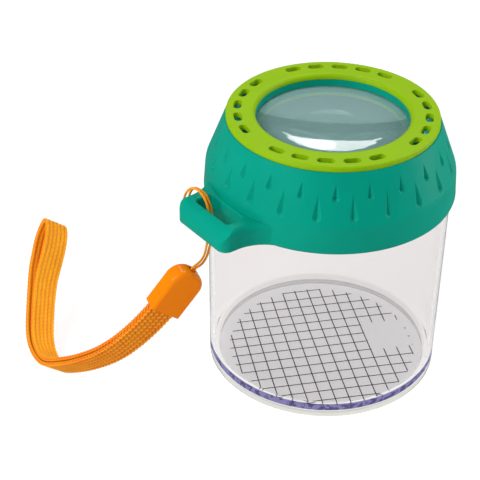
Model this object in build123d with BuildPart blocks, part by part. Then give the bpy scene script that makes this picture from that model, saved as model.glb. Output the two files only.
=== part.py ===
from build123d import *
import os
from math import asin, cos, degrees, pi, radians, sin, tan

os.makedirs("parts", exist_ok=True)

# A clear collecting jar with a screw-on magnifier lid and a wrist strap.
# All sizes are millimetres. Z is up, the foot stands on Z = 0 around the Z axis,
# and the strap lug of the lid points along -X.

# Clear cup
wall_radius_top = 42.5
wall_draft = 0.5
wall_thickness = 1.8
shoulder_height = 71.7
neck_step = 2.0
neck_height = 10.9
floor_thickness = 1.8
foot_height = 2.2
foot_width = 3.2
foot_inset = 0.2
foot_round = 0.8
inside_corner = 2.0

# Lid collar
lid_gap = 0.5
neck_clearance = 1.7
skirt_wall = 1.95
skirt_height = 9.8
skirt_taper = 0.65
skirt_lip_round = 0.5
corner_round = 8.0
cone_height = 17.2
cone_wall = 2.4
top_land = 8.0
top_round = 0.4
plate_thickness = 2.6
stop_width = 3.6
stop_thickness = 1.6
seat_wall = 1.8
seat_depth = 2.2

# Strap lug on the collar
lug_length = 12.1
lug_width = 27.2
lug_bearing = -0.8
lug_height = 7.8
lug_root_depth = 0.95
lug_flare = 15.0
lug_corner = 3.4
lug_crown = 6.4
lug_edge = 2.0
slot_length = 18.0
slot_width = 6.1
slot_inset = 0.75
slot_corner = 1.2
slot_edge = 0.8

# Teardrop recesses in two staggered rings
drop_count = 22
drop_phase = 2.0
drop_depth = 1.0
drop_lift = 0.15
drop_flats = 4
long_drop_start = 6.8
long_drop_length = 7.3
long_drop_radius = 1.55
short_drop_start = 3.3
short_drop_length = 4.6
short_drop_radius = 1.25

# Vent ring
ring_thickness = 2.0
ring_margin = 0.4
ring_lap = 0.1
ring_rim_round = 0.7
ring_lip_round = 1.4
vent_inset = 3.9
vent_length = 5.8
vent_width = 2.8
vent_groups = 4
vents_per_group = 5
vent_step = 15.0
window_margin = 0.4

# Magnifier lens
flange_radius = 29.0
flange_thickness = 1.6
flange_lap = 2.4
seat_clearance = 0.25
dome_rise = 3.4
dome_clearance = 0.3

# Wrist strap, a doubled band that lies on its edge
band_width = 10.5
layer_thickness = 1.6
layer_gap = 0.2
band_origin = (-75.9, 3.4, 51.0)
band_heading = 75.0
band_dip = 36.5
band_route = [(-0.5, 9.2), (0.1, 1.4), (3.6, -12.9), (9.7, -25.5), (18.6, -36.2), (25.4, -42.7)]
band_route += [(33.4, -49.4), (40.5, -50.9), (49.8, -49.5), (62.3, -41.5), (69.6, -35.6), (73.4, -30.2)]
band_route += [(77.0, -25.4), (81.2, -21.4), (85.2, -19.6), (87.4, -20.0), (86.9, -23.4), (84.6, -27.8)]
band_route += [(79.6, -33.1), (76.1, -36.7), (65.2, -43.9), (56.4, -49.3), (51.6, -51.5), (46.5, -52.6)]
band_route += [(40.3, -52.7), (32.6, -51.0), (24.2, -44.1), (17.2, -37.4), (8.1, -26.5), (2.0, -13.5)]
band_route += [(-1.7, 1.2), (-2.3, 9.2)]

# Cap that grips the band's two ends
cap_mouth = (-0.8, 1.3)
cap_width = 12.4
cap_thickness = 6.9
cap_length = 17.4
cap_lean = 94.0
cap_shoulder = 5.5
cap_round = 1.6
cap_fit = 0.25
cap_pocket_depth = 12.4
string_hole = 2.8

# String loop hitched round the rear arm of the lug
string_diameter = 0.9
string_sides = 8
string_route = [(-65.30, -1.10, 58.51), (-61.6, -2.6, 63.85), (-59.4, -2.3, 64.0), (-57.0, -1.4, 64.0)]
string_route += [(-54.3, 0.2, 64.7), (-51.8, 2.3, 67.3), (-50.5, 3.0, 70.4), (-50.0, 3.2, 73.4)]
string_route += [(-50.0, 3.5, 77.0), (-50.1, 4.4, 80.6), (-50.3, 6.4, 83.2), (-50.5, 9.6, 84.3)]
string_route += [(-50.6, 13.0, 83.0), (-50.7, 15.7, 79.9), (-51.0, 16.8, 76.4), (-51.8, 16.4, 72.8)]
string_route += [(-52.4, 13.8, 69.9), (-52.0, 8.0, 70.4), (-52.0, 3.6, 70.3), (-51.2, 1.6, 70.4)]
string_route += [(-49.9, 0.9, 70.5), (-48.6, 1.6, 70.4), (-47.8, 3.6, 70.3), (-47.8, 8.0, 70.4)]
string_route += [(-48.5, 13.8, 69.8), (-48.6, 16.5, 72.6), (-48.7, 17.0, 76.0), (-48.7, 16.0, 79.2)]
string_route += [(-48.8, 13.6, 82.2), (-49.0, 10.4, 83.2), (-49.0, 7.2, 83.0), (-48.9, 4.9, 81.0)]
string_route += [(-48.8, 3.7, 77.6), (-48.9, 3.1, 73.8), (-49.4, 2.8, 70.0), (-50.8, 1.9, 66.4)]
string_route += [(-53.6, -0.2, 63.8), (-56.4, -1.7, 63.0), (-58.7, -2.6, 63.1), (-60.75, -2.8, 63.2)]
string_route += [(-64.44, -1.33, 57.85)]
knot_radius = 1.6
knot_length = 2.6
knot_round = 0.6
knot_height = 10.2

# Values worked out from the sizes above
wall_radius_bottom = wall_radius_top - wall_draft
foot_radius = wall_radius_bottom - foot_inset
foot_inner_radius = foot_radius - foot_width
floor_top = foot_height + floor_thickness
neck_radius = wall_radius_top - neck_step
rim_height = shoulder_height + neck_height
skirt_bottom = shoulder_height + lid_gap
skirt_inner_radius = neck_radius + neck_clearance
skirt_radius = skirt_inner_radius + skirt_wall
corner_radius = skirt_radius - skirt_taper
corner_height = skirt_bottom + skirt_height
top_radius = flange_radius + top_land
collar_top = corner_height + cone_height
plate_underside = collar_top - plate_thickness
lug_reach = skirt_radius + lug_length
lug_root_radius = skirt_radius - lug_root_depth
lug_top = skirt_bottom + lug_height
slot_near = skirt_radius + slot_inset
slot_far = slot_near + slot_width
seat_radius = flange_radius + seat_clearance
bore_radius = flange_radius - flange_lap
dome_radius = bore_radius - dome_clearance
ring_top = collar_top + ring_thickness
ring_radius = top_radius - ring_margin
ring_inner_radius = bore_radius - ring_lap
vent_pitch_radius = ring_radius - vent_inset
window_width = vent_width + 2 * window_margin
cone_slope = (corner_radius - top_radius) / (collar_top - corner_height)
cone_angle = asin(cone_slope / (1 + cone_slope**2) ** 0.5)


def cone_radius(height):
    """Radius of the collar's cone at a height."""
    return top_radius + cone_slope * (collar_top - height)


def vent_angles():
    """Bearings of all the vents, in groups with one position left out between them."""
    half = (vents_per_group - 1) / 2
    turn = 360 / vent_groups
    return [
        turn * (group + 0.5) + vent_step * (index - half)
        for group in range(vent_groups)
        for index in range(vents_per_group)
    ]


def vent_places(height):
    """Locations of the vents at a height, each turned to lie along the ring."""
    return [
        Location((vent_pitch_radius * cos(radians(a)), vent_pitch_radius * sin(radians(a)), height), (0, 0, a + 90))
        for a in vent_angles()
    ]


def corner_radii(points):
    """Bend radius at each inner point of a route, as large as its two runs allow."""
    radii = []
    for before, here, after in zip(points, points[1:], points[2:]):
        arrive = Vector(*here) - Vector(*before)
        leave = Vector(*after) - Vector(*here)
        half_turn = radians(arrive.get_angle(leave)) / 2
        radii.append(0.45 * min(arrive.length, leave.length) / tan(half_turn))
    return radii


# Clear cup: a drafted wall, a raised floor on a foot ring, and a stepped-in neck
with BuildPart() as jar_cup:
    with BuildSketch(Plane.XZ):
        with BuildLine():
            Polyline(
                (0, foot_height),
                (foot_inner_radius, foot_height),
                (foot_inner_radius, 0),
                (foot_radius - foot_round, 0),
            )
            Line((foot_radius - foot_round, 0), (wall_radius_bottom, foot_round))
            Polyline(
                (wall_radius_bottom, foot_round),
                (wall_radius_top, shoulder_height),
                (neck_radius, shoulder_height),
                (neck_radius, rim_height),
                (neck_radius - wall_thickness, rim_height),
                (neck_radius - wall_thickness, shoulder_height - wall_thickness),
                (wall_radius_top - wall_thickness, shoulder_height - 2 * wall_thickness),
                (wall_radius_bottom - wall_thickness, floor_top + inside_corner),
            )
            Line(
                (wall_radius_bottom - wall_thickness, floor_top + inside_corner),
                (wall_radius_bottom - wall_thickness - inside_corner, floor_top),
            )
            Polyline(
                (wall_radius_bottom - wall_thickness - inside_corner, floor_top),
                (0, floor_top),
                (0, foot_height),
            )
        make_face()
    revolve(axis=Axis.Z)
jar_cup.part.label = "jar_cup"
export_step(jar_cup.part, "parts/jar_cup.step")

# Strap lug: a flat block with flared roots, a crowned bar and a slot behind the bar
lug_plane = Plane.XY.rotated((0, 0, lug_bearing))
with BuildPart() as lug_block:
    with BuildSketch(lug_plane.offset(skirt_bottom)):
        Circle(lug_root_radius)
        with Locations((-lug_reach / 2, 0)):
            Rectangle(lug_reach, lug_width)
        flare_points = vertices().filter_by(lambda v: -lug_root_radius < v.X < -1 and abs(v.Y) < lug_width)
        fillet(flare_points, lug_flare)
        fillet(vertices().group_by(Axis.X)[0], lug_corner)
    extrude(amount=lug_height)
    fillet(faces().sort_by(Axis.Z)[-1].edges(), lug_edge)
    with BuildSketch(Plane.XZ.rotated((0, 0, lug_bearing))):
        with BuildLine():
            Polyline(
                (lug_root_radius, lug_top),
                (lug_root_radius, skirt_bottom),
                (-lug_reach, skirt_bottom),
                (-lug_reach, lug_top - lug_crown),
            )
            RadiusArc((-lug_reach, lug_top - lug_crown), (-lug_reach + lug_crown, lug_top), lug_crown)
            Line((-lug_reach + lug_crown, lug_top), (lug_root_radius, lug_top))
        make_face()
    extrude(amount=lug_root_radius, both=True, mode=Mode.INTERSECT)
    with BuildSketch(lug_plane.offset(skirt_bottom)):
        with Locations((-(slot_near + slot_far) / 2, 0)):
            RectangleRounded(slot_far - slot_near, slot_length, slot_corner)
    extrude(amount=lug_height, mode=Mode.SUBTRACT)
    slot_rim = edges(Select.LAST).filter_by(lambda e: e.bounding_box().min.Z > lug_top - lug_crown)
    fillet(slot_rim.filter_by(lambda e: e.bounding_box().size.Z < lug_height / 2), slot_edge)


def drop_cutter(start, length, radius):
    """A teardrop gouge: two flat flanks and a blunt end in a few flats, run to one deepest point."""
    bottom = collar_top - start - length
    grow = (drop_depth + drop_lift) / drop_depth
    outward = Vector(cos(cone_angle), 0, sin(cone_angle))
    bulb = Vector(cone_radius(bottom), 0, bottom)
    reach = length / cos(cone_angle) * grow
    wide = radius * grow
    half_angle = asin(wide / reach)
    flat_turn = (pi + 2 * half_angle) / drop_flats
    end_angles = [half_angle - flat_turn * index for index in range(drop_flats + 1)]
    end_points = [(wide * cos(angle), wide * sin(angle)) for angle in end_angles]
    with BuildPart() as cutter:
        with BuildSketch(Plane(origin=bulb + outward * drop_lift, x_dir=(0, 1, 0), z_dir=outward)) as outline:
            with BuildLine():
                Polyline((0, reach), *end_points, (0, reach))
            make_face()
        loft(sections=[outline.sketch.face(), Vertex(*(bulb - outward * drop_depth))], ruled=True)
    return cutter.part


long_drop = drop_cutter(long_drop_start, long_drop_length, long_drop_radius)
short_drop = drop_cutter(short_drop_start, short_drop_length, short_drop_radius)

# Lid collar: skirt, cone, top plate with vent windows, lens seat and strap lug in one moulding
with BuildPart() as lid_collar:
    with BuildSketch(Plane.XZ):
        with BuildLine() as collar_line:
            Polyline((0, collar_top), (0, skirt_bottom), (skirt_radius, skirt_bottom))
            Polyline(
                (skirt_radius, skirt_bottom),
                (corner_radius, corner_height),
                (top_radius, collar_top),
                (0, collar_top),
            )
        make_face()
        chamfer(vertices().group_by(Axis.Z)[0].sort_by(Axis.X)[-1], skirt_lip_round)
        chamfer(vertices().group_by(Axis.Z)[-1].sort_by(Axis.X)[-1], top_round)
        fillet(vertices().sort_by(lambda v: abs(v.Z - corner_height) + abs(v.X - corner_radius))[0], corner_round)
    revolve(axis=Axis.Z)
    add(lug_block.part)
    with BuildSketch(Plane.XZ):
        with BuildLine():
            stop_radius = skirt_inner_radius - stop_width
            cone_start = rim_height + 2 * stop_thickness
            Polyline(
                (0, skirt_bottom),
                (skirt_inner_radius, skirt_bottom),
                (skirt_inner_radius, rim_height),
                (stop_radius, rim_height),
                (stop_radius, rim_height + stop_thickness),
                (cone_radius(cone_start) - cone_wall, cone_start),
                (cone_radius(plate_underside) - cone_wall, plate_underside),
                (seat_radius + seat_wall, plate_underside),
                (seat_radius + seat_wall, plate_underside - seat_depth),
                (seat_radius, plate_underside - seat_depth),
                (seat_radius, plate_underside),
                (bore_radius, plate_underside),
                (bore_radius, collar_top),
                (0, collar_top),
                (0, skirt_bottom),
            )
        make_face()
    revolve(axis=Axis.Z, mode=Mode.SUBTRACT)
    with BuildSketch(Plane.XY.offset(plate_underside)):
        window_span = vent_step * (vents_per_group - 1) + degrees(vent_length / vent_pitch_radius)
        window_start = (360 / vent_groups - window_span) / 2
        with PolarLocations(0, vent_groups):
            SlotArc(CenterArc((0, 0), vent_pitch_radius, window_start, window_span), window_width)
    extrude(amount=plate_thickness, mode=Mode.SUBTRACT)
    drop_step = 360 / drop_count
    with PolarLocations(0, drop_count, start_angle=180 + drop_phase):
        add(short_drop, mode=Mode.SUBTRACT)
    with PolarLocations(0, drop_count, start_angle=180 + drop_phase + drop_step / 2):
        add(long_drop, mode=Mode.SUBTRACT)
lid_collar.part.label = "lid_collar"
export_step(lid_collar.part, "parts/lid_collar.step")

# Vent ring: a flat ring with a rounded rim and a softer inner lip, sitting on the collar's top plate
with BuildPart() as vent_ring:
    with BuildSketch(Plane.XY.offset(collar_top)):
        Circle(ring_radius)
        Circle(ring_inner_radius, mode=Mode.SUBTRACT)
    extrude(amount=ring_thickness)
    fillet(edges().group_by(Axis.Z)[-1].sort_by(SortBy.LENGTH)[-1], ring_rim_round)
    fillet(edges().group_by(Axis.Z)[-1].sort_by(SortBy.LENGTH)[0], ring_lip_round)
    with BuildSketch(Plane.XY.offset(collar_top)):
        with Locations(vent_places(0)):
            SlotOverall(vent_length, vent_width)
    extrude(amount=ring_thickness, mode=Mode.SUBTRACT)
vent_ring.part.label = "vent_ring"
export_step(vent_ring.part, "parts/vent_ring.step")

# Magnifier lens: a double-convex disc with a flat flange under the top plate
with BuildPart() as magnifier_lens:
    flange_bottom = plate_underside - flange_thickness
    dome_curve = (dome_radius**2 + dome_rise**2) / (2 * dome_rise)
    with BuildSketch(Plane.XZ):
        with BuildLine():
            RadiusArc((0, plate_underside + dome_rise), (dome_radius, plate_underside), dome_curve)
            Polyline(
                (dome_radius, plate_underside),
                (flange_radius, plate_underside),
                (flange_radius, flange_bottom),
                (dome_radius, flange_bottom),
            )
            RadiusArc((dome_radius, flange_bottom), (0, flange_bottom - dome_rise), dome_curve)
            Line((0, flange_bottom - dome_rise), (0, plate_underside + dome_rise))
        make_face()
    revolve(axis=Axis.Z)
magnifier_lens.part.label = "magnifier_lens"
export_step(magnifier_lens.part, "parts/magnifier_lens.step")

# The band's own plane: X along its heading, Z across its width
heading = radians(band_heading)
dip = radians(band_dip)
band_plane = Plane(
    origin=band_origin,
    x_dir=(cos(heading), sin(heading), 0),
    z_dir=(sin(heading) * cos(dip), -cos(heading) * cos(dip), -sin(dip)),
)

# Wrist strap: two layers lying together, parting into an open eye at the folded end
with BuildPart() as wrist_strap:
    with BuildSketch(band_plane):
        with BuildLine():
            band_path = FilletPolyline(*band_route, radius=corner_radii(band_route))
            offset(amount=layer_thickness / 2, side=Side.BOTH)
        make_face()
    extrude(amount=band_width)
wrist_strap.part.label = "wrist_strap"
export_step(wrist_strap.part, "parts/wrist_strap.step")

# Strap cap: a flattened bullet with a pocket for the band ends and a hole for the string
mouth = band_plane.from_local_coords((*cap_mouth, band_width / 2))
cap_axis = band_plane.x_dir * cos(radians(cap_lean)) + band_plane.y_dir * sin(radians(cap_lean))
cap_line = Axis(mouth, cap_axis)
cap_plane = Plane(origin=mouth, x_dir=band_plane.z_dir, z_dir=cap_axis)
side_plane = Plane(origin=mouth, x_dir=band_plane.z_dir, z_dir=cap_plane.y_dir * -1)
with BuildPart() as strap_cap:
    with BuildSketch(side_plane):
        Rectangle(cap_width, cap_length, align=(Align.CENTER, Align.MIN))
        fillet(vertices().group_by(Axis.Y)[-1], cap_shoulder)
    extrude(amount=cap_thickness / 2, both=True)
    broad_faces = faces().filter_by(Axis(mouth, cap_plane.y_dir))
    mouth_face = faces().sort_by(cap_line)[0]
    fillet(broad_faces.edges() - mouth_face.edges(), cap_round)
    with BuildSketch(cap_plane):
        RectangleRounded(band_width + 2 * cap_fit, 2 * layer_thickness + layer_gap + 2 * cap_fit, cap_fit)
    extrude(amount=cap_pocket_depth, mode=Mode.SUBTRACT)
    with BuildSketch(cap_plane):
        Circle(string_hole / 2)
    extrude(amount=cap_length, mode=Mode.SUBTRACT)
strap_cap.part.label = "strap_cap"
export_step(strap_cap.part, "parts/strap_cap.step")

# String: one loop of thin cord, hitched round the lug's rear arm, both ends in the cap
with BuildPart() as strap_string:
    with BuildLine() as string_line:
        string_radii = corner_radii(string_route)
        string_path = FilletPolyline(*string_route, radius=string_radii)
    with BuildSketch(Plane(origin=string_path @ 0, z_dir=string_path % 0)):
        RegularPolygon(string_diameter / 2, string_sides)
    sweep()
strap_string.part.label = "strap_string"
export_step(strap_string.part, "parts/strap_string.step")

# Knot: the string's two ends tied in a small coil that can't pass the cap's hole
with BuildPart() as string_knot:
    with BuildSketch(cap_plane.offset(knot_height)):
        Circle(knot_radius)
    extrude(amount=knot_length / 2, both=True)
    chamfer(edges(), knot_round)
string_knot.part.label = "string_knot"
export_step(string_knot.part, "parts/string_knot.step")

# Sizes worked out along the way
string_section = string_sides / 2 * (string_diameter / 2) ** 2 * sin(2 * pi / string_sides)
print("string bend radii", [round(r, 1) for r in string_radii])
print("string length", round(string_path.length, 1))
print("string volume", round(strap_string.part.volume, 1))
print("section times length", round(string_section * string_path.length, 1))
print("band length", round(band_path.length, 1))
print("total height", ring_top, "skirt diameter", 2 * skirt_radius)
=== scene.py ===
# %% [markdown]
# # A bug jar with a magnifier lid and a wrist strap
# The rigid parts of the jar come ready made, at real size and in metres, with the foot on Z = 0.
# This lesson gives each of them its finish. It also makes what is soft, printed or too fine for
# the solids: the hitched string, the knitted strap, the grid under the floor and the threads.

# %% Load the parts
import math

import bpy
from mathutils import Matrix, Quaternion, Vector


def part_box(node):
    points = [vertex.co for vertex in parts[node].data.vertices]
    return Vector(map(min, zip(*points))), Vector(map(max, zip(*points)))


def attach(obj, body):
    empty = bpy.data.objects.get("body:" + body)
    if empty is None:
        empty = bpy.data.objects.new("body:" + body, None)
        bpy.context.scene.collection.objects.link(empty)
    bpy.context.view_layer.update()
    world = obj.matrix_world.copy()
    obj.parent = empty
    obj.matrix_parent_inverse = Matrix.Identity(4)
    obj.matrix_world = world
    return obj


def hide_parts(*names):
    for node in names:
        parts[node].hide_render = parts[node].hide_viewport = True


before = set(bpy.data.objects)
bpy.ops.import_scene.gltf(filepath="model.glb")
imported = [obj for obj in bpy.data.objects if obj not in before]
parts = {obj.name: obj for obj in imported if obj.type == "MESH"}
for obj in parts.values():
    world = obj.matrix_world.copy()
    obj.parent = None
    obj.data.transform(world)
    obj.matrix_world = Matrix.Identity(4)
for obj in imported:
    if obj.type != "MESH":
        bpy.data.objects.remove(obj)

MM = 0.001
scene = bpy.context.scene
scene.view_settings.view_transform = "Standard"
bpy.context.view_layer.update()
print("parts", sorted(parts))

# %% [markdown]
# ## The camera
# The photograph was taken from above the strap's side with a long lens, so the rims stay nearly
# parallel ellipses. Place, target and lens were worked out from the rims and the printed grid.
# The small roll is a turn about the viewing axis, added after the camera has been aimed.

# %% Camera
camera_place = Vector((-283.22, -309.58, 335.14)) * MM
camera_target = Vector((-24.46, 19.25, 47.49)) * MM
camera_roll = math.radians(0.68)

camera_data = bpy.data.cameras.new("photo_camera")
camera_data.lens = 105.33
camera_data.sensor_width = 36.0
camera_data.clip_start = 0.01
camera = bpy.data.objects.new("photo_camera", camera_data)
scene.collection.objects.link(camera)
aim = (camera_target - camera_place).to_track_quat("-Z", "Y").to_matrix().to_4x4()
camera.matrix_world = Matrix.Translation(camera_place) @ aim @ Matrix.Rotation(camera_roll, 4, "Z")
scene.camera = camera
print("camera to jar in mm", round((camera_target - camera_place).length / MM))

# %% [markdown]
# ## Helpers for node trees
# Shapes and finishes below are both node trees that are wired in code. A few short helpers keep
# that readable: they set or link a socket, place a node, do a step of arithmetic, join or split
# a vector, and start a group with named inputs and outputs.

# %% Node tree helpers
def feed(tree, socket, value):
    """Links a socket to another one, or sets it to a plain value."""
    if isinstance(value, bpy.types.NodeSocket):
        tree.links.new(value, socket)
    else:
        socket.default_value = value


def place(tree, kind, inputs=None, **settings):
    """A new node with its settings, then its inputs by name."""
    node = tree.nodes.new(kind)
    for name, value in settings.items():
        setattr(node, name, value)
    for name, value in (inputs or {}).items():
        feed(tree, node.inputs[name], value)
    return node


def calc(tree, operation, *values):
    """One step of arithmetic; gives the socket that holds the result."""
    node = place(tree, "ShaderNodeMath", operation=operation)
    for socket, value in zip(node.inputs, values):
        feed(tree, socket, value)
    return node.outputs[0]


def point(tree, x=0.0, y=0.0):
    """A vector in the XY plane from two values."""
    return place(tree, "ShaderNodeCombineXYZ", {"X": x, "Y": y}).outputs["Vector"]


def split(tree, vector):
    """The X, Y and Z of a vector, by name."""
    return place(tree, "ShaderNodeSeparateXYZ", {"Vector": vector}).outputs


def new_group(name, kind, inputs, outputs):
    """A node group with named sockets; gives the group and both ends of it."""
    group = bpy.data.node_groups.new(name, kind)
    for label, socket in inputs.items():
        group.interface.new_socket(label, in_out="INPUT", socket_type="NodeSocket" + socket)
    for label, socket in outputs.items():
        group.interface.new_socket(label, in_out="OUTPUT", socket_type="NodeSocket" + socket)
    entry = group.nodes.new("NodeGroupInput").outputs
    exit_end = group.nodes.new("NodeGroupOutput").inputs
    print("group", name, "takes", list(inputs))
    return group, entry, exit_end


# %% Colour helpers
BLACK = (0.0, 0.0, 0.0, 1.0)
WHITE = (1.0, 1.0, 1.0, 1.0)


def grey(level):
    """A neutral colour in linear values."""
    return (level, level, level, 1.0)


def seen(red, green, blue):
    """A colour as it is seen on a screen, 0 to 255, in the linear values that shaders use."""
    def linear(level):
        share = level / 255
        return share / 12.92 if share <= 0.04045 else ((share + 0.055) / 1.055) ** 2.4
    return (linear(red), linear(green), linear(blue), 1.0)


def blend_colours(tree, share, first, second):
    """Mixes two colours by a share from 0 to 1."""
    node = place(tree, "ShaderNodeMix", data_type="RGBA")
    for index, value in ((0, share), (6, first), (7, second)):
        feed(tree, node.inputs[index], value)
    return node.outputs[2]


def spread(tree, value, low, high):
    """Stretches a value from the range 0 to 1 to the range low to high."""
    inputs = {"Value": value, "To Min": low, "To Max": high}
    return place(tree, "ShaderNodeMapRange", inputs).outputs["Result"]


def rise(tree, value, start, end, low=0.0, high=1.0):
    """A smooth step, by default from 0 at start to 1 at end."""
    inputs = {"Value": value, "From Min": start, "From Max": end, "To Min": low, "To Max": high}
    return place(tree, "ShaderNodeMapRange", inputs, interpolation_type="SMOOTHSTEP").outputs["Result"]


# %% [markdown]
# ## Shapes from node trees
# A tree runs as a modifier on a carrier object: a curve for what follows a path, or an empty
# mesh. Its sizes are set before it is first evaluated, and the result is kept as a plain mesh,
# so that nothing live is left on the piece. Every tree ends in the same two steps: instances
# become real geometry, and the geometry gets its material.

# %% Growing a piece from a tree
def complete(tree, exit_end, geometry, material):
    """Ends a shape tree."""
    whole = place(tree, "GeometryNodeRealizeInstances", {"Geometry": geometry}).outputs["Geometry"]
    painted = place(tree, "GeometryNodeSetMaterial", {"Geometry": whole, "Material": material})
    feed(tree, exit_end["Geometry"], painted.outputs["Geometry"])
    return tree


def empty_carrier(name):
    """An object with no geometry for a tree that makes everything itself."""
    carrier = bpy.data.objects.new(name, bpy.data.meshes.new(name))
    scene.collection.objects.link(carrier)
    return carrier


def grow(carrier, tree, name, sizes):
    """Runs a shape tree on a carrier and keeps the result as a plain mesh piece."""
    modifier = carrier.modifiers.new(tree.name, "NODES")
    modifier.node_group = tree
    for item in tree.interface.items_tree:
        if item.in_out == "INPUT" and item.name in sizes:
            modifier[item.identifier] = sizes[item.name]
    graph = bpy.context.evaluated_depsgraph_get()
    mesh = bpy.data.meshes.new_from_object(carrier.evaluated_get(graph))
    bpy.data.objects.remove(carrier)
    mesh.name = name
    piece = bpy.data.objects.new(name, mesh)
    scene.collection.objects.link(piece)
    size = [round(side / MM, 2) for side in piece.dimensions]
    print(name, "faces", len(mesh.polygons), "size in mm", size)
    return piece


# %% [markdown]
# ## Orange yarn
# The string and the strap are dyed polyester. Up close such yarn is never one flat colour: the
# fibres catch the light in fine streaks. The colour runs between a lit and a shaded copy of the
# orange, at random and as painted shade where the yarn shades itself.
# The fibre pattern serves both pieces, so it is a group of its own: one noise for the clouds of
# colour and one for the fibres, each with a size. A maker of such groups will serve again.

# %% Pattern groups
def noise_group(name, details):
    """A group with one noise for each label; each has a size in metres and puts out its value."""
    group, entry, exit_end = new_group(
        name, "ShaderNodeTree",
        {label + " size": "Float" for label in details},
        {label: "Float" for label in details},
    )
    where = place(group, "ShaderNodeTexCoord").outputs["Object"]
    for label, detail in details.items():
        scale = calc(group, "DIVIDE", 1.0, entry[label + " size"])
        noise = place(group, "ShaderNodeTexNoise", {"Vector": where, "Scale": scale, "Detail": detail})
        feed(group, exit_end[label], noise.outputs["Fac"])
    return group


yarn_fibre = noise_group("yarn_fibre", {"Cloud": 3.0, "Fibre": 2.0})


def new_material(name):
    """A finish with its node tree and its main shader."""
    material = bpy.data.materials.new(name)
    material.use_nodes = True
    print("finish", name)
    return material, material.node_tree, material.node_tree.nodes["Principled BSDF"]


# %% Yarn finishes
def yarn_material(name, lit, shaded, cloud_size, fibre_size):
    """Dyed yarn between a lit and a shaded copy of its colour: painted shade where the piece marks it, plus
    clouds and streaks.
    """
    material, tree, shader = new_material(name)
    cloud_reach = 0.18
    streak_reach = 0.22
    fibre_sizes = {"Cloud size": cloud_size, "Fibre size": fibre_size}
    fibre = place(tree, "ShaderNodeGroup", fibre_sizes, node_tree=yarn_fibre).outputs
    # painted shade: the share of the shaded copy that the strap marks in its grooves and stitch dips
    painted_shade = place(tree, "ShaderNodeAttribute", attribute_name="painted_shade").outputs["Fac"]
    cloud = spread(tree, fibre["Cloud"], -cloud_reach, cloud_reach)
    streak = spread(tree, fibre["Fibre"], -streak_reach, streak_reach)
    share = calc(tree, "ADD", calc(tree, "ADD", painted_shade, cloud), streak)
    feed(tree, shader.inputs["Base Color"], blend_colours(tree, share, lit, shaded))
    feed(tree, shader.inputs["Roughness"], spread(tree, fibre["Fibre"], 0.55, 0.8))
    shader.inputs["Specular IOR Level"].default_value = 0.2
    bump = place(tree, "ShaderNodeBump", {"Height": fibre["Fibre"], "Strength": 0.5, "Distance": 0.05 * MM})
    feed(tree, shader.inputs["Normal"], bump.outputs["Normal"])
    return material


# the shaded colours are painted shade, a redder copy of each orange
string_yarn = yarn_material(
    "string_yarn", lit=seen(255, 164, 24), shaded=seen(218, 74, 6),
    cloud_size=2 * MM, fibre_size=0.12 * MM,
)
strap_yarn = yarn_material(
    "strap_yarn", lit=seen(255, 180, 30), shaded=seen(234, 74, 2),
    cloud_size=6 * MM, fibre_size=0.16 * MM,
)

# %% [markdown]
# ## The string
# A thin cord runs out of the cap, over the lug, through its own bight and back into the cap: a
# lark's head hitch round the rear arm of the lug. Its route is a list of points in millimetres,
# used as control points of one smooth NURBS line. The cord itself is three plies twisted round
# that line, because a plain tube has none of the small shadows that make a cord look twisted.

# %% The string's route
string_route = [
    (-65.30, -1.10, 58.51), (-61.6, -2.6, 63.85), (-59.4, -2.3, 64.0), (-57.0, -1.4, 64.0),
    (-54.3, 0.2, 64.7), (-51.8, 2.3, 67.3), (-50.5, 3.0, 70.4), (-50.0, 3.2, 73.4),
    (-50.0, 3.5, 77.0), (-50.1, 4.4, 80.6), (-50.3, 6.4, 83.2), (-50.5, 9.6, 84.3),
    (-50.6, 13.0, 83.0), (-50.7, 15.7, 79.9), (-51.0, 16.8, 76.4), (-51.8, 16.4, 72.8),
    (-52.4, 13.8, 69.9), (-52.0, 8.0, 70.4), (-52.0, 3.6, 70.3), (-51.2, 1.6, 70.4),
    (-49.9, 0.9, 70.5), (-48.6, 1.6, 70.4), (-47.8, 3.6, 70.3), (-47.8, 8.0, 70.4),
    (-48.5, 13.8, 69.8), (-48.6, 16.5, 72.6), (-48.7, 17.0, 76.0), (-48.7, 16.0, 79.2),
    (-48.8, 13.6, 82.2), (-49.0, 10.4, 83.2), (-49.0, 7.2, 83.0), (-48.9, 4.9, 81.0),
    (-48.8, 3.7, 77.6), (-48.9, 3.1, 73.8), (-49.4, 2.8, 70.0), (-50.8, 1.9, 66.4),
    (-53.6, -0.2, 63.8), (-56.4, -1.7, 63.0), (-58.7, -2.6, 63.1), (-60.75, -2.8, 63.2),
    (-64.44, -1.33, 57.85),
]


def route_curve(name, points, closed=False):
    """A bare NURBS line through space with the given control points, in metres."""
    data = bpy.data.curves.new(name, "CURVE")
    data.dimensions = "3D"
    data.resolution_u = 16
    spline = data.splines.new("NURBS")
    spline.points.add(len(points) - 1)
    for control, place_of_control in zip(spline.points, points):
        control.co = (*place_of_control, 1.0)
    spline.order_u = 3
    spline.use_endpoint_u = not closed
    spline.use_cyclic_u = closed
    line = bpy.data.objects.new(name, data)
    scene.collection.objects.link(line)
    return line


def line_points(line):
    """The points of a bare curve as Blender draws it."""
    mesh = bpy.data.meshes.new_from_object(line)
    points = [vertex.co.copy() for vertex in mesh.vertices]
    bpy.data.meshes.remove(mesh)
    return points


def line_length(points):
    """How long a line of points is, in metres."""
    return sum((after - before).length for before, after in zip(points, points[1:]))


string_line = route_curve("string_line", [Vector(control) * MM for control in string_route])
string_points = line_points(string_line)
print("string length in mm", round(line_length(string_points) / MM, 1))


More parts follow.
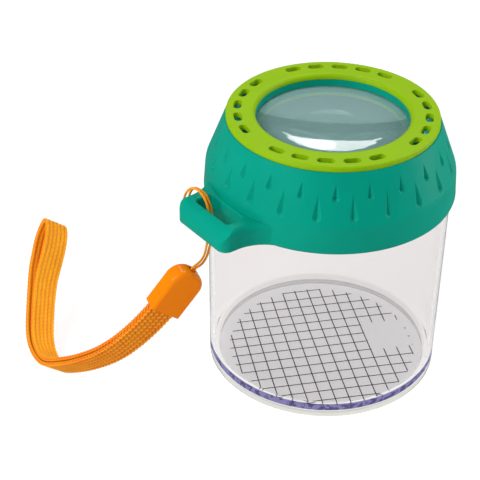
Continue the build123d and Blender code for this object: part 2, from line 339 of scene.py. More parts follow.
# %% Twisted cord tree
def make_twisted_cord():
    """Plies laid round a curve: copies of it, each moved sideways by an angle that grows along it."""
    tree, entry, exit_end = new_group(
        "twisted_cord", "GeometryNodeTree",
        {"Line": "Geometry", "Plies": "Int", "Ply radius": "Float", "Lay radius": "Float",
         "Twist length": "Float", "Step": "Float", "Sides": "Int", "Finish": "Material"},
        {"Geometry": "Geometry"},
    )
    line = place(
        tree, "GeometryNodeResampleCurve",
        {"Curve": entry["Line"], "Length": entry["Step"]}, mode="LENGTH",
    )
    copies = place(
        tree, "GeometryNodeDuplicateElements",
        {"Geometry": line.outputs["Curve"], "Amount": entry["Plies"]}, domain="SPLINE",
    )
    along = place(tree, "GeometryNodeSplineParameter").outputs["Length"]
    turns = calc(tree, "DIVIDE", along, entry["Twist length"])
    start = calc(tree, "DIVIDE", copies.outputs["Duplicate Index"], entry["Plies"])
    angle = calc(tree, "MULTIPLY", calc(tree, "ADD", turns, start), math.tau)
    sideways = place(
        tree, "ShaderNodeVectorRotate",
        {"Vector": place(tree, "GeometryNodeInputNormal").outputs["Normal"],
         "Axis": place(tree, "GeometryNodeInputTangent").outputs["Tangent"], "Angle": angle},
        rotation_type="AXIS_ANGLE",
    )
    offset = place(
        tree, "ShaderNodeVectorMath",
        {"Vector": sideways.outputs["Vector"], "Scale": entry["Lay radius"]}, operation="SCALE",
    )
    laid = place(
        tree, "GeometryNodeSetPosition",
        {"Geometry": copies.outputs["Geometry"], "Offset": offset.outputs["Vector"]},
    )
    section = place(
        tree, "GeometryNodeCurvePrimitiveCircle",
        {"Resolution": entry["Sides"], "Radius": entry["Ply radius"]}, mode="RADIUS",
    )
    tube = place(
        tree, "GeometryNodeCurveToMesh",
        {"Curve": laid.outputs["Geometry"], "Profile Curve": section.outputs["Curve"], "Fill Caps": True},
    )
    smooth = place(tree, "GeometryNodeSetShadeSmooth", {"Geometry": tube.outputs["Mesh"]})
    return complete(tree, exit_end, smooth.outputs["Geometry"], entry["Finish"])


twisted_cord = make_twisted_cord()

# %% The string
string_diameter = 0.9 * MM
ply_sizes = {
    "Plies": 3, "Ply radius": 0.26 * string_diameter, "Lay radius": 0.24 * string_diameter,
    "Twist length": 2.6 * MM, "Step": 0.22 * MM, "Sides": 8, "Finish": string_yarn,
}
string_piece = grow(string_line, twisted_cord, "hitched_string", ply_sizes)

# %% [markdown]
# ## The knot in the cap
# Inside the cap the two string ends are tied, so that they can't slip back through the hole. An
# overhand knot pulled tight is close to a trefoil, a closed curve with a simple formula. It
# lies round the cap's axis, at the height where the solid knot is.

# %% The knot
knot_low, knot_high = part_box("string_knot")
knot_centre = (knot_low + knot_high) / 2
cap_axis = Vector((0.5551, -0.2209, 0.8020)).normalized()
knot_turn = cap_axis.to_track_quat("Z", "X").to_matrix()
knot_reach = 1.05 * MM
knot_rise = 0.75 * MM
knot_steps = 24


def trefoil(angle):
    """A point of the knot's line, before it is turned to the cap's axis."""
    wide = (2 + math.cos(3 * angle)) / 3
    return Vector((
        knot_reach * wide * math.cos(2 * angle),
        knot_reach * wide * math.sin(2 * angle),
        knot_rise * math.sin(3 * angle),
    ))


knot_angles = [math.tau * step / knot_steps for step in range(knot_steps)]
knot_route = [knot_centre + knot_turn @ trefoil(angle) for angle in knot_angles]
knot_line = route_curve("knot_line", knot_route, closed=True)
knot_piece = grow(knot_line, twisted_cord, "tied_knot", ply_sizes)

# %% What the string and the knot stand for
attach(knot_piece, "lid")
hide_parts("string_knot")
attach(string_piece, "lid")
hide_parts("strap_string")

# %% [markdown]
# ## The wrist strap
# The strap is a flat knitted band, folded once: both ends are gripped in the cap, and the fold
# at the far end stays open as an eye. The band stands on edge in one slanted plane, so its
# route is a list of points in that plane. The section is a flat bar swept along the route. Its
# ribs and stitches are raised in the mesh, because their shadows show from a step away.

# %% The strap's plane and route
band_width = 10.5 * MM
band_thickness = 1.6 * MM
band_origin = Vector((-75.9, 3.4, 51.0)) * MM
band_heading = math.radians(75.0)
band_dip = math.radians(36.5)
band_route = [
    (-0.5, 9.2), (0.1, 1.4), (3.6, -12.9), (9.7, -25.5), (18.6, -36.2), (25.4, -42.7), (33.4, -49.4),
    (40.5, -50.9), (49.8, -49.5), (62.3, -41.5), (69.6, -35.6), (73.4, -30.2), (77.0, -25.4),
    (81.2, -21.4), (85.2, -19.6), (87.4, -20.0), (86.9, -23.4), (84.6, -27.8), (79.6, -33.1),
    (76.1, -36.7), (65.2, -43.9), (56.4, -49.3), (51.6, -51.5), (46.5, -52.6), (40.3, -52.7),
    (32.6, -51.0), (24.2, -44.1), (17.2, -37.4), (8.1, -26.5), (2.0, -13.5), (-1.7, 1.2), (-2.3, 9.2),
]
fold_route = [
    (-1.4, 9.2), (-0.8, 1.3), (2.8, -13.2), (8.9, -26.0), (17.9, -36.8), (24.8, -43.4), (33.0, -50.2),
    (40.4, -51.8), (48.4, -51.2), (57.6, -46.8), (66.8, -40.7), (74.0, -34.8), (79.8, -28.4),
    (84.2, -23.8), (87.3, -20.6),
]
band_along = Vector((math.cos(band_heading), math.sin(band_heading), 0))
band_across = Vector((
    math.sin(band_heading) * math.cos(band_dip),
    -math.cos(band_heading) * math.cos(band_dip),
    -math.sin(band_dip),
))
band_up = band_across.cross(band_along)


def on_band(control):
    """A point of the strap's plane, in the middle of the band's width."""
    sideways, upwards = control
    return band_origin + (sideways * band_along + upwards * band_up) * MM + band_across * band_width / 2


strap_line = route_curve("strap_line", [on_band(control) for control in band_route])
fold_line = route_curve("fold_line", [on_band(control) for control in fold_route])
strap_length = line_length(line_points(strap_line))
fold_points = line_points(fold_line)
bpy.data.objects.remove(fold_line)
print("strap length in mm", round(strap_length / MM, 1), "folded", round(line_length(fold_points) / MM, 1))


# %% [markdown]
# The band's tree works in three steps. It sweeps a rounded bar along the route and keeps two
# measures on every point: how far along the band and how far across it the point lies. From
# these it works out the grooves between the ribs and the dips between the stitches, which are
# shifted by half a stitch on every other rib. Then it pushes the points in, and keeps the depth
# as a share of painted shade for the yarn's colour. Towards the fold the band is stretched, and
# the stitches nearly vanish.

# %% Swept band
def store(tree, geometry, name, value):
    """Keeps a value on each point under a name; gives the geometry that carries it."""
    inputs = {"Geometry": geometry, "Name": name, "Value": value}
    node = place(tree, "GeometryNodeStoreNamedAttribute", inputs, data_type="FLOAT", domain="POINT")
    return node.outputs["Geometry"]


def recall(tree, name):
    """A value that was kept on the points."""
    node = place(tree, "GeometryNodeInputNamedAttribute", {"Name": name}, data_type="FLOAT")
    return node.outputs["Attribute"]


def sweep_band(tree, entry):
    """A rounded bar along the line, with the measures along and across kept on its points."""
    corner_share = 0.45
    line = place(
        tree, "GeometryNodeResampleCurve",
        {"Curve": entry["Line"], "Length": entry["Step"]}, mode="LENGTH",
    )
    upright = place(
        tree, "GeometryNodeSetCurveNormal",
        {"Curve": line.outputs["Curve"], "Normal": entry["Across"]}, mode="FREE",
    )
    length_so_far = place(tree, "GeometryNodeSplineParameter").outputs["Length"]
    measured = store(tree, upright.outputs["Curve"], "along", length_so_far)
    bar = place(
        tree, "GeometryNodeCurvePrimitiveQuadrilateral",
        {"Width": entry["Width"], "Height": entry["Thickness"]}, mode="RECTANGLE",
    )
    corner = calc(tree, "MULTIPLY", entry["Thickness"], corner_share)
    rounded = place(
        tree, "GeometryNodeFilletCurve",
        {"Curve": bar.outputs["Curve"], "Count": 4, "Radius": corner}, mode="POLY",
    )
    section = place(
        tree, "GeometryNodeResampleCurve",
        {"Curve": rounded.outputs["Curve"], "Count": entry["Points"]}, mode="COUNT",
    )
    section_place = split(tree, place(tree, "GeometryNodeInputPosition").outputs["Position"])
    marked = store(tree, section.outputs["Curve"], "across", section_place["X"])
    swept = place(
        tree, "GeometryNodeCurveToMesh",
        {"Curve": measured, "Profile Curve": marked, "Fill Caps": True},
    )
    return swept.outputs["Mesh"]


# %% Ribs and stitches
def knit_pattern(tree, entry):
    """How far each point lies in a groove between ribs, and in a dip between stitches, from 0 to 1."""
    groove_sharpness = 2.4
    stitch_slant = 0.45
    stitch_at_fold = 0.3
    along = recall(tree, "along")
    across = calc(tree, "DIVIDE", recall(tree, "across"), entry["Width"])
    rib_place = calc(tree, "MULTIPLY", calc(tree, "ADD", across, 0.5), entry["Ribs"])
    from_rib_middle = calc(tree, "ABSOLUTE", calc(tree, "SUBTRACT", calc(tree, "FRACT", rib_place), 0.5))
    from_middle = calc(tree, "MULTIPLY", from_rib_middle, 2.0)
    groove = calc(tree, "POWER", from_middle, groove_sharpness)
    odd_rib = calc(tree, "FLOORED_MODULO", calc(tree, "FLOOR", rib_place), 2.0)
    half_stitch = calc(tree, "MULTIPLY", odd_rib, 0.5)
    slant = calc(tree, "MULTIPLY", from_middle, stitch_slant)
    stitches = calc(tree, "DIVIDE", along, entry["Stitch length"])
    phase = calc(tree, "ADD", calc(tree, "ADD", stitches, half_stitch), slant)
    wave = calc(tree, "COSINE", calc(tree, "MULTIPLY", phase, math.tau))
    between = calc(tree, "SUBTRACT", 0.5, calc(tree, "MULTIPLY", wave, 0.5))
    from_end = calc(tree, "MINIMUM", along, calc(tree, "SUBTRACT", entry["Length"], along))
    relaxed = rise(tree, from_end, entry["Smooth from"], entry["Smooth to"], 1.0, stitch_at_fold)
    return groove, calc(tree, "MULTIPLY", between, relaxed)


# %% Knitted band tree
def make_knitted_band():
    """A flat bar swept along a curve, then pushed in between its ribs and between its stitches."""
    tree, entry, exit_end = new_group(
        "knitted_band", "GeometryNodeTree",
        {"Line": "Geometry", "Across": "Vector", "Width": "Float", "Thickness": "Float",
         "Ribs": "Int", "Rib depth": "Float", "Stitch length": "Float", "Stitch depth": "Float",
         "Length": "Float", "Smooth from": "Float", "Smooth to": "Float", "Step": "Float",
         "Points": "Int", "Finish": "Material"},
        {"Geometry": "Geometry"},
    )
    groove_shade = 0.5
    stitch_shade = 0.6
    bar = sweep_band(tree, entry)
    groove, stitch = knit_pattern(tree, entry)
    rib_dip = calc(tree, "MULTIPLY", groove, entry["Rib depth"])
    stitch_dip = calc(tree, "MULTIPLY", stitch, entry["Stitch depth"])
    sunk = calc(tree, "ADD", rib_dip, stitch_dip)
    normal = place(tree, "GeometryNodeInputNormal").outputs["Normal"]
    inward = place(
        tree, "ShaderNodeVectorMath",
        {"Vector": normal, "Scale": calc(tree, "MULTIPLY", sunk, -1.0)}, operation="SCALE",
    )
    shaped = place(
        tree, "GeometryNodeSetPosition", {"Geometry": bar, "Offset": inward.outputs["Vector"]},
    )
    # painted shade: grooves and stitch dips are marked for the shaded yarn colour
    groove_painted_shade = calc(tree, "MULTIPLY", groove, groove_shade)
    stitch_painted_shade = calc(tree, "MULTIPLY", stitch, stitch_shade)
    painted_shade = calc(tree, "ADD", groove_painted_shade, stitch_painted_shade)
    shaded = store(tree, shaped.outputs["Geometry"], "painted_shade", painted_shade)
    smooth = place(tree, "GeometryNodeSetShadeSmooth", {"Geometry": shaded})
    return complete(tree, exit_end, smooth.outputs["Geometry"], entry["Finish"])


# %% The wrist strap
strap_sizes = {
    "Across": band_across, "Width": band_width, "Thickness": band_thickness, "Ribs": 6,
    "Rib depth": 0.3 * MM, "Stitch length": 1.7 * MM, "Stitch depth": 0.3 * MM,
    "Length": strap_length, "Smooth from": 45 * MM, "Smooth to": 85 * MM, "Step": 0.32 * MM,
    "Points": 96, "Finish": strap_yarn,
}
strap_piece = grow(strap_line, make_knitted_band(), "knitted_strap", strap_sizes)
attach(strap_piece, "lid")
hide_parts("wrist_strap")

# %% [markdown]
# ## Moulded plastic
# The lid, the ring and the cap are injection moulded and then handled. The colour clouds a
# little, the gloss varies where fingers have been, and the skin has a very fine grain. These
# three effects serve several materials, so they are one group with a size for each. A bevel
# node softens the sharp edges of the solids in the way they catch the light.

# %% Moulded finishes
moulded_skin = noise_group("moulded_skin", {"Cloud": 2.0, "Handling": 4.0, "Grain": 2.0})


def moulded_material(name, colour, shade, gloss, shine, grain_depth, edge):
    """Solid coloured plastic: gloss is its lowest and highest roughness, edge its rounding."""
    material, tree, shader = new_material(name)
    skin_sizes = {"Cloud size": 14 * MM, "Handling size": 5 * MM, "Grain size": 0.25 * MM}
    skin = place(tree, "ShaderNodeGroup", skin_sizes, node_tree=moulded_skin).outputs
    feed(tree, shader.inputs["Base Color"], blend_colours(tree, skin["Cloud"], colour, shade))
    feed(tree, shader.inputs["Roughness"], spread(tree, skin["Handling"], *gloss))
    shader.inputs["Specular IOR Level"].default_value = shine
    soft_edge = place(tree, "ShaderNodeBevel", {"Radius": edge}, samples=6).outputs["Normal"]
    bump = place(
        tree, "ShaderNodeBump",
        {"Height": skin["Grain"], "Normal": soft_edge, "Strength": 0.35, "Distance": grain_depth},
    )
    feed(tree, shader.inputs["Normal"], bump.outputs["Normal"])
    return material


lid_green = moulded_material(
    "lid_green", colour=seen(1, 160, 137), shade=seen(0, 150, 127),
    gloss=(0.3, 0.42), shine=0.07, grain_depth=0.02 * MM, edge=0.45 * MM,
)
ring_lime = moulded_material(
    "ring_lime", colour=seen(150, 193, 6), shade=seen(142, 186, 4),
    gloss=(0.38, 0.52), shine=0.12, grain_depth=0.02 * MM, edge=0.3 * MM,
)
cap_orange = moulded_material(
    "cap_orange", colour=seen(255, 140, 4), shade=seen(252, 130, 2),
    gloss=(0.14, 0.24), shine=0.2, grain_depth=0.006 * MM, edge=0.3 * MM,
)


def finish(node, material):
    """Gives a rigid part its material."""
    mesh = parts[node].data
    mesh.materials.clear()
    mesh.materials.append(material)
    print(node, "is finished in", material.name)


finish("lid_collar", lid_green)
finish("vent_ring", ring_lime)
finish("strap_cap", cap_orange)

# %% [markdown]
# ## Clear plastic
# The cup and the lens are clear plastic, such as polystyrene. It is never quite invisible: it
# takes a little of the light each time it is crossed. A long way through it looks violet, as at
# the floor's edge; the faint glow there is painted light, an emission that stands for the light
# that the floor pipes to it. The real walls hardly bend what is behind them, so the cup's index
# of refraction is set far below that of solid plastic, while the lens keeps a full one. Lamps
# have to shine through both, so rays that look for a lamp meet a transparent shader instead of
# the glass.

# %% Clear finish
def clear_material(name, tint, clearness, bending, roughness):
    """Clear plastic; tint gives its colour and its painted glow, and bending is its index of refraction."""
    material, tree, shader = new_material(name)
    shader.inputs["IOR"].default_value = bending
    shader.inputs["Transmission Weight"].default_value = clearness
    colour, glow = tint(tree)
    feed(tree, shader.inputs["Base Color"], colour)
    feed(tree, shader.inputs["Emission Color"], glow)
    shader.inputs["Emission Strength"].default_value = 1.0
    skin_sizes = {"Cloud size": 30 * MM, "Handling size": 8 * MM, "Grain size": 0.6 * MM}
    skin = place(tree, "ShaderNodeGroup", skin_sizes, node_tree=moulded_skin).outputs
    feed(tree, shader.inputs["Roughness"], spread(tree, skin["Handling"], *roughness))
    through = place(tree, "ShaderNodeBsdfTransparent", {"Color": grey(0.9)})
    path = place(tree, "ShaderNodeLightPath")
    choice = place(tree, "ShaderNodeMixShader", {"Fac": path.outputs["Is Shadow Ray"]})
    tree.links.new(shader.outputs["BSDF"], choice.inputs[1])
    tree.links.new(through.outputs["BSDF"], choice.inputs[2])
    tree.links.new(choice.outputs["Shader"], tree.nodes["Material Output"].inputs["Surface"])
    return material


def axis_distance(tree, where):
    """How far each point lies from the jar's axis, and how high it lies."""
    axes = split(tree, where)
    squares = [calc(tree, "MULTIPLY", axes[axis], axes[axis]) for axis in ("X", "Y")]
    return calc(tree, "SQRT", calc(tree, "ADD", *squares)), axes["Z"]


def zone(tree, *limits):
    """1 inside a zone and 0 outside it, from smooth steps that each run from 0 to 1."""
    share = rise(tree, *limits[0])
    for limit in limits[1:]:
        share = calc(tree, "MULTIPLY", share, rise(tree, *limit))
    return share


# %% The cup
# the floor's grey is painted shade, the jar's shadow on the table seen through the floor; the glows are
# painted light
cup_colours = {
    "wall": (0.885, 0.866, 0.862, 1.0),
    "floor": (0.66, 0.655, 0.665, 1.0),
    "foot": (0.48, 0.48, 0.42, 1.0),
    "violet": (0.05, 0.043, 0.15, 1.0),
    "dark violet": (0.008, 0.008, 0.04, 1.0),
    "violet glow": (0.04, 0.034, 0.085, 1.0),
    "dark glow": (0.012, 0.01, 0.03, 1.0),
}


def cup_tint(tree):
    """Nearly colourless; painted shade in the floor, grey in the foot, violet and a painted glow in the
    wall beside the floor.
    """
    where = place(tree, "ShaderNodeTexCoord").outputs["Object"]
    radius, height = axis_distance(tree, where)
    backside = place(tree, "ShaderNodeNewGeometry").outputs["Backfacing"]
    outside = (calc(tree, "SUBTRACT", 1.0, backside), 0.0, 1.0)
    # painted shade zone: the floor
    floor_shade_zone = zone(tree, (radius, 39.5 * MM, 38.5 * MM), (height, 6.5 * MM, 5.0 * MM))
    in_foot = zone(tree, (radius, 40.6 * MM, 41.0 * MM), (height, 3.4 * MM, 3.0 * MM), outside)
    in_strip = zone(
        tree, (radius, 41.0 * MM, 41.4 * MM),
        (height, 3.3 * MM, 3.7 * MM), (height, 6.7 * MM, 6.2 * MM), outside,
    )
    flecks = place(tree, "ShaderNodeTexNoise", {"Vector": where, "Scale": 520.0, "Detail": 2.0})
    fleck = rise(tree, flecks.outputs["Fac"], 0.46, 0.56)
    violet = blend_colours(tree, fleck, cup_colours["violet"], cup_colours["dark violet"])
    # painted glow: an emission in the violet strip for the light that the floor pipes to it
    violet_glow = blend_colours(tree, fleck, cup_colours["violet glow"], cup_colours["dark glow"])
    colour = blend_colours(tree, floor_shade_zone, cup_colours["wall"], cup_colours["floor"])
    colour = blend_colours(tree, in_foot, colour, cup_colours["foot"])
    colour = blend_colours(tree, in_strip, colour, violet)
    return colour, blend_colours(tree, in_strip, BLACK, violet_glow)


cup_clear = clear_material("cup_clear", cup_tint, clearness=1.0, bending=1.07, roughness=(0.01, 0.04))
finish("jar_cup", cup_clear)


# %% The lens
def lens_tint(tree):
    """A cool, dark teal of painted shade for the shaded green inside of the lid; a little deeper towards
    the rim, without a glow.
    """
    where = place(tree, "ShaderNodeTexCoord").outputs["Object"]
    radius, _ = axis_distance(tree, where)
    rim = rise(tree, radius, 18 * MM, 29 * MM)
    # painted shade: the dark teal stands for the shaded green inside of the lid seen through the lens
    return blend_colours(tree, rim, (0.28, 0.43, 0.42, 1.0), (0.26, 0.42, 0.41, 1.0)), BLACK


lens_clear = clear_material("lens_clear", lens_tint, clearness=0.6, bending=1.5, roughness=(0.005, 0.02))
finish("magnifier_lens", lens_clear)

# %% [markdown]
# ## The printed grid
# A grid of 5 mm squares is printed under the floor, so that an insect can be measured. The print
# is a disc, a little off the jar's axis, and one field is left blank. Lines that repeat at a
# fixed pitch and stop at a circle are a job for a node tree: it draws them as fine runs of
# points, deletes the points outside the disc or in the blank field, and makes flat bars of the
# rest.

# %% Print ink
def ink_material(name, colour, faded):
    """Screen ink: nearly black, a little uneven where it is thin."""
    material, tree, shader = new_material(name)
    where = place(tree, "ShaderNodeTexCoord").outputs["Object"]
    patches = place(tree, "ShaderNodeTexNoise", {"Vector": where, "Scale": 900.0, "Detail": 3.0})
    thin = rise(tree, patches.outputs["Fac"], 0.5, 0.75)
    feed(tree, shader.inputs["Base Color"], blend_colours(tree, thin, colour, faded))
    shader.inputs["Roughness"].default_value = 0.6
    return material


grid_ink = ink_material("grid_ink", colour=seen(60, 60, 68), faded=seen(98, 98, 108))


# %% Ruled lines
def rule_lines(tree, entry):
    """Two crossing sets of parallel lines, as fine runs of points."""
    gaps = calc(tree, "SUBTRACT", entry["Lines"], 1)
    half = calc(tree, "MULTIPLY", gaps, calc(tree, "MULTIPLY", entry["Pitch"], 0.5))
    back = calc(tree, "MULTIPLY", half, -1.0)
    ray = place(
        tree, "GeometryNodeCurvePrimitiveLine",
        {"Start": point(tree, x=back), "End": point(tree, x=half)}, mode="POINTS",
    )
    fine_step = calc(tree, "MULTIPLY", entry["Line width"], 0.5)
    fine = place(
        tree, "GeometryNodeResampleCurve",
        {"Curve": ray.outputs["Curve"], "Length": fine_step}, mode="LENGTH",
    )
    wire = place(tree, "GeometryNodeCurveToMesh", {"Curve": fine.outputs["Curve"]})
    ladder = place(
        tree, "GeometryNodeMeshLine",
        {"Count": entry["Lines"], "Start Location": point(tree, y=back),
         "Offset": point(tree, y=entry["Pitch"])}, mode="OFFSET",
    )
    rows = place(
        tree, "GeometryNodeInstanceOnPoints",
        {"Points": ladder.outputs["Mesh"], "Instance": wire.outputs["Mesh"]},
    )
    columns = place(
        tree, "GeometryNodeTransform",
        {"Geometry": rows.outputs["Instances"], "Rotation": (0.0, 0.0, math.pi / 2)},
    )
    both = place(tree, "GeometryNodeJoinGeometry")
    tree.links.new(rows.outputs["Instances"], both.inputs[0])
    tree.links.new(columns.outputs["Geometry"], both.inputs[0])
    whole = place(tree, "GeometryNodeRealizeInstances", {"Geometry": both.outputs["Geometry"]})
    return whole.outputs["Geometry"]


def unprinted(tree, entry):
    """1 on the points that the print leaves out: outside the disc, or inside the blank field."""
    spot = place(tree, "GeometryNodeInputPosition").outputs["Position"]
    from_disc = place(
        tree, "ShaderNodeVectorMath", {0: spot, 1: entry["Disc place"]}, operation="DISTANCE",
    )
    outside = calc(tree, "GREATER_THAN", from_disc.outputs["Value"], entry["Disc radius"])
    here = split(tree, spot)
    low = split(tree, entry["Blank low"])
    high = split(tree, entry["Blank high"])
    blank = 1.0
    for axis in ("X", "Y"):
        past = calc(tree, "GREATER_THAN", here[axis], low[axis])
        short = calc(tree, "LESS_THAN", here[axis], high[axis])
        blank = calc(tree, "MULTIPLY", blank, calc(tree, "MULTIPLY", past, short))
    return calc(tree, "GREATER_THAN", calc(tree, "MAXIMUM", outside, blank), 0.5)


# %% Printed grid tree
def make_printed_grid():
    """Two sets of parallel lines inside a disc, with one rectangular field left blank."""
    tree, entry, exit_end = new_group(
        "printed_grid", "GeometryNodeTree",
        {"Lines": "Int", "Pitch": "Float", "Line width": "Float", "Line height": "Float",
         "Disc radius": "Float", "Grid place": "Vector", "Disc place": "Vector",
         "Turn": "Rotation", "Blank low": "Vector", "Blank high": "Vector", "Finish": "Material"},
        {"Geometry": "Geometry"},
    )
    ruled = rule_lines(tree, entry)
    kept = place(
        tree, "GeometryNodeDeleteGeometry",
        {"Geometry": ruled, "Selection": unprinted(tree, entry)}, domain="POINT",
    )
    runs = place(tree, "GeometryNodeMeshToCurve", {"Mesh": kept.outputs["Geometry"]})
    straight = place(
        tree, "GeometryNodeResampleCurve", {"Curve": runs.outputs["Curve"], "Count": 2}, mode="COUNT",
    )
    level = place(tree, "GeometryNodeSetCurveNormal", {"Curve": straight.outputs["Curve"]}, mode="Z_UP")
    stroke = place(
        tree, "GeometryNodeCurvePrimitiveQuadrilateral",
        {"Width": entry["Line width"], "Height": entry["Line height"]}, mode="RECTANGLE",
    )
    bars = place(
        tree, "GeometryNodeCurveToMesh",
        {"Curve": level.outputs["Curve"], "Profile Curve": stroke.outputs["Curve"], "Fill Caps": True},
    )
    flat = place(
        tree, "GeometryNodeSetShadeSmooth", {"Geometry": bars.outputs["Mesh"], "Shade Smooth": False},
    )
    turned = place(
        tree, "GeometryNodeTransform",
        {"Geometry": flat.outputs["Geometry"], "Translation": entry["Grid place"],
         "Rotation": entry["Turn"]},
    )
    return complete(tree, exit_end, turned.outputs["Geometry"], entry["Finish"])


# %% The printed grid
grid_turn = math.radians(-26.74)
grid_crossing = Vector((2.1, -0.2, 0)) * MM
disc_offset = Vector((-1.7, -2.4, 0)) * MM
floor_underside = 2.2 * MM
ink_height = 0.04 * MM
ink_middle = floor_underside - 0.6 * ink_height
to_grid = Matrix.Rotation(-grid_turn, 3, "Z")
grid_sizes = {
    "Lines": 17, "Pitch": 5.0 * MM, "Line width": 0.4 * MM, "Line height": ink_height,
    "Disc radius": 34.6 * MM,
    "Grid place": grid_crossing + Vector((0, 0, ink_middle)),
    "Disc place": to_grid @ (disc_offset - grid_crossing),
    "Turn": (0.0, 0.0, grid_turn),
    "Blank low": Vector((15.4, -10.4, -1)) * MM,
    "Blank high": Vector((31.0, 5.4, 1)) * MM,
    "Finish": grid_ink,
}
grid_piece = grow(empty_carrier("grid_carrier"), make_printed_grid(), "printed_grid", grid_sizes)
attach(grid_piece, "jar")

# %% [markdown]
# ## The screw threads
# The lid turns on a coarse right-handed thread that climbs 4 mm in each turn. With the lid closed
# it is hidden by the skirt, but it shows once the lid has come up. A ridge that winds up a
# cylinder is a spiral with a small section, thinned out to nothing at both ends. The neck
# carries one ridge on its outside, and the skirt carries its partner, half a pitch lower.

# %% Screw ridge tree
def make_screw_ridge():
    """A blunt ridge along a spiral, tapered at both ends; a negative ridge points inwards."""
    tree, entry, exit_end = new_group(
        "screw_ridge", "GeometryNodeTree",
        {"Radius": "Float", "Pitch": "Float", "Turns": "Float", "Ridge": "Float", "Foot": "Float",
         "Taper": "Float", "Place": "Vector", "Finish": "Material"},
        {"Geometry": "Geometry"},
    )
    crest_share = 0.16
    root_share = 0.15
    climb = calc(tree, "MULTIPLY", entry["Pitch"], entry["Turns"])
    spiral = place(
        tree, "GeometryNodeCurveSpiral",
        {"Resolution": 96, "Rotations": entry["Turns"], "Start Radius": entry["Radius"],
         "End Radius": entry["Radius"], "Height": climb, "Reverse": False},
    )
    share = place(tree, "GeometryNodeSplineParameter").outputs["Factor"]
    from_end = calc(tree, "MINIMUM", share, calc(tree, "SUBTRACT", 1.0, share))
    thick = rise(tree, from_end, -0.01, entry["Taper"])
    upright = place(tree, "GeometryNodeSetCurveNormal", {"Curve": spiral.outputs["Curve"]}, mode="Z_UP")
    half_foot = calc(tree, "MULTIPLY", entry["Foot"], 0.5)
    half_crest = calc(tree, "MULTIPLY", entry["Foot"], crest_share)
    root = calc(tree, "MULTIPLY", calc(tree, "ABSOLUTE", entry["Ridge"]), -root_share)
    section = place(
        tree, "GeometryNodeCurvePrimitiveQuadrilateral",
        {"Point 1": point(tree, root, calc(tree, "MULTIPLY", half_foot, -1.0)),
         "Point 2": point(tree, entry["Ridge"], calc(tree, "MULTIPLY", half_crest, -1.0)),
         "Point 3": point(tree, entry["Ridge"], half_crest),
         "Point 4": point(tree, root, half_foot)}, mode="POINTS",
    )
    swept = place(
        tree, "GeometryNodeCurveToMesh",
        {"Curve": upright.outputs["Curve"], "Profile Curve": section.outputs["Curve"],
         "Scale": thick, "Fill Caps": True},
    )
    raised = place(
        tree, "GeometryNodeTransform",
        {"Geometry": swept.outputs["Mesh"], "Translation": entry["Place"]},
    )
    return complete(tree, exit_end, raised.outputs["Geometry"], entry["Finish"])


screw_ridge = make_screw_ridge()


# %% The two threads
def add_thread(name, body, material, radius, ridge, height):
    """Winds one thread onto the neck or into the skirt."""
    sizes = {
        "Radius": radius, "Pitch": thread_pitch, "Turns": 1.25, "Ridge": ridge, "Foot": 1.7 * MM,
        "Taper": 0.06, "Place": Vector((0, 0, height)), "Finish": material,
    }
    thread = grow(empty_carrier(name + "_carrier"), screw_ridge, name, sizes)
    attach(thread, body)


neck_radius = 40.5 * MM
skirt_inner_radius = 42.2 * MM
thread_pitch = 4.0 * MM
thread_ridge = 0.75 * MM
neck_start = 76.2 * MM
lid_start = neck_start - thread_pitch / 2
add_thread("neck_thread", "jar", cup_clear, neck_radius, thread_ridge, neck_start)
add_thread("lid_thread", "lid", lid_green, skirt_inner_radius, -thread_ridge, lid_start)

# %% [markdown]
# ## The studio
# The photograph is a product shot on white: a soft key light on the left, a fill light on the
# right, and light from all around. The lens also mirrors a bright crescent along its front rim.
# A straight lamp would be mirrored as an arc that bends the wrong way, so that light is an arch
# of small panels behind the jar, thick at its top and thin at its feet.

# %% Key and fill
jar_middle = Vector((-10, 5, 50)) * MM


def softbox(name, direction, distance, size, power, shape="RECTANGLE", slide=(0, 0), roll=0.0):
    """An area lamp that looks at the jar from a direction, slid and rolled in its own plane."""
    lamp = bpy.data.lights.new(name, "AREA")
    lamp.shape = shape
    lamp.size, lamp.size_y = size
    lamp.energy = power
    holder = bpy.data.objects.new(name, lamp)
    facing = (-Vector(direction)).to_track_quat("-Z", "Y")
    holder.location = jar_middle + facing @ Vector((*slide, distance))
    holder.rotation_mode = "QUATERNION"
    holder.rotation_quaternion = facing @ Quaternion((0, 0, 1), roll)
    scene.collection.objects.link(holder)
    print(name, "gives", round(power, 2), "W from", [round(x, 2) for x in holder.location])


softbox("key_softbox", (-0.95, 0.05, 0.75), distance=0.75, size=(0.45, 0.45), power=4.4)
softbox("fill_softbox", (0.85, -0.5, 0.35), distance=0.9, size=(0.4, 0.7), power=5.4)

# %% The arch that the lens mirrors
arch_direction = (0.523, 0.549, 0.652)
arch_distance = 0.9
arch_radius = 0.205
arch_half_angle = math.radians(60)
arch_panels = 9
panel_length = 0.15
panel_thickness = (0.012, 0.098)
power_per_thickness = 3.4
for panel in range(arch_panels):
    share = 2 * panel / (arch_panels - 1) - 1
    bend = arch_half_angle * share
    thick = panel_thickness[0] + panel_thickness[1] * math.cos(share * math.pi / 2)
    softbox(
        f"arch_panel_{panel}", arch_direction, arch_distance, size=(panel_length, thick),
        power=power_per_thickness * thick, shape="ELLIPSE",
        slide=(arch_radius * math.sin(bend), arch_radius * math.cos(bend)), roll=-bend,
    )


# %% [markdown]
# The white of the picture comes from what the camera, mirror and glass rays see, and not from
# more light on the jar. Light Path tells these rays apart, in the world and in the floor alike.
# The floor is a plain diffuse sheet that glows a little for the camera and keeps a soft shadow.

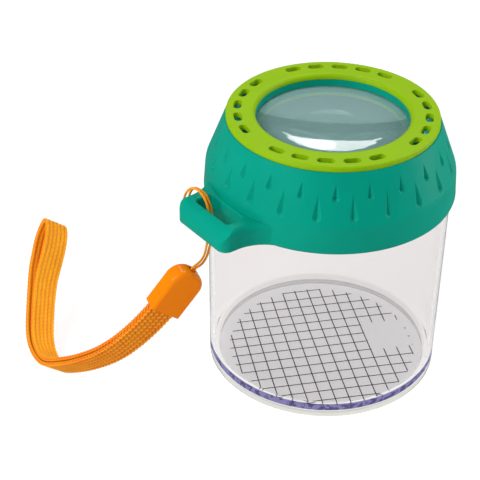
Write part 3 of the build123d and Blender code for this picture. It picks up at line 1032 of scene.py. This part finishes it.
# %% Background and floor
def shows_backdrop(tree, path):
    """1 for rays from the camera, through glass, or mirrored inside glass, and 0 for the others."""
    direct = calc(tree, "MAXIMUM", path["Is Camera Ray"], path["Is Transmission Ray"])
    after_glass = calc(tree, "GREATER_THAN", path["Transmission Depth"], 0.5)
    mirrored = calc(tree, "MULTIPLY", path["Is Glossy Ray"], after_glass)
    return calc(tree, "MAXIMUM", direct, mirrored)


def studio_world(around, in_gloss):
    """Soft light from all around, weaker in mirror images, seen as white where the backdrop shows."""
    world = bpy.data.worlds.new("studio")
    world.use_nodes = True
    scene.world = world
    tree = world.node_tree
    backdrop = tree.nodes["Background"]
    backdrop.inputs["Color"].default_value = WHITE
    path = place(tree, "ShaderNodeLightPath").outputs
    light = spread(tree, path["Is Glossy Ray"], around, in_gloss)
    feed(tree, backdrop.inputs["Strength"], spread(tree, shows_backdrop(tree, path), light, 1.0))


def studio_floor(half_width, glow):
    """A wide white sheet just under the foot."""
    mesh = bpy.data.meshes.new("studio_floor")
    corners = [(-1, -1), (1, -1), (1, 1), (-1, 1)]
    mesh.from_pydata([(x * half_width, y * half_width, 0) for x, y in corners], [], [(0, 1, 2, 3)])
    floor = bpy.data.objects.new("studio_floor", mesh)
    floor.location.z = -0.1 * MM
    scene.collection.objects.link(floor)
    material, tree, shader = new_material("floor_white")
    where = place(tree, "ShaderNodeTexCoord").outputs["Object"]
    cloud = place(tree, "ShaderNodeTexNoise", {"Vector": where, "Scale": 4.0}).outputs["Fac"]
    path = place(tree, "ShaderNodeLightPath").outputs
    shown = shows_backdrop(tree, path)
    paper = blend_colours(tree, cloud, grey(0.80), grey(0.82))
    paper = blend_colours(tree, path["Is Glossy Ray"], paper, grey(0.15))
    feed(tree, shader.inputs["Base Color"], blend_colours(tree, shown, paper, grey(0.25)))
    shader.inputs["Roughness"].default_value = 0.9
    shader.inputs["Specular IOR Level"].default_value = 0.0
    shader.inputs["Emission Color"].default_value = WHITE
    feed(tree, shader.inputs["Emission Strength"], calc(tree, "MULTIPLY", shown, glow))
    mesh.materials.append(material)


studio_world(around=0.26, in_gloss=0.06)
studio_floor(half_width=3.0, glow=0.81)
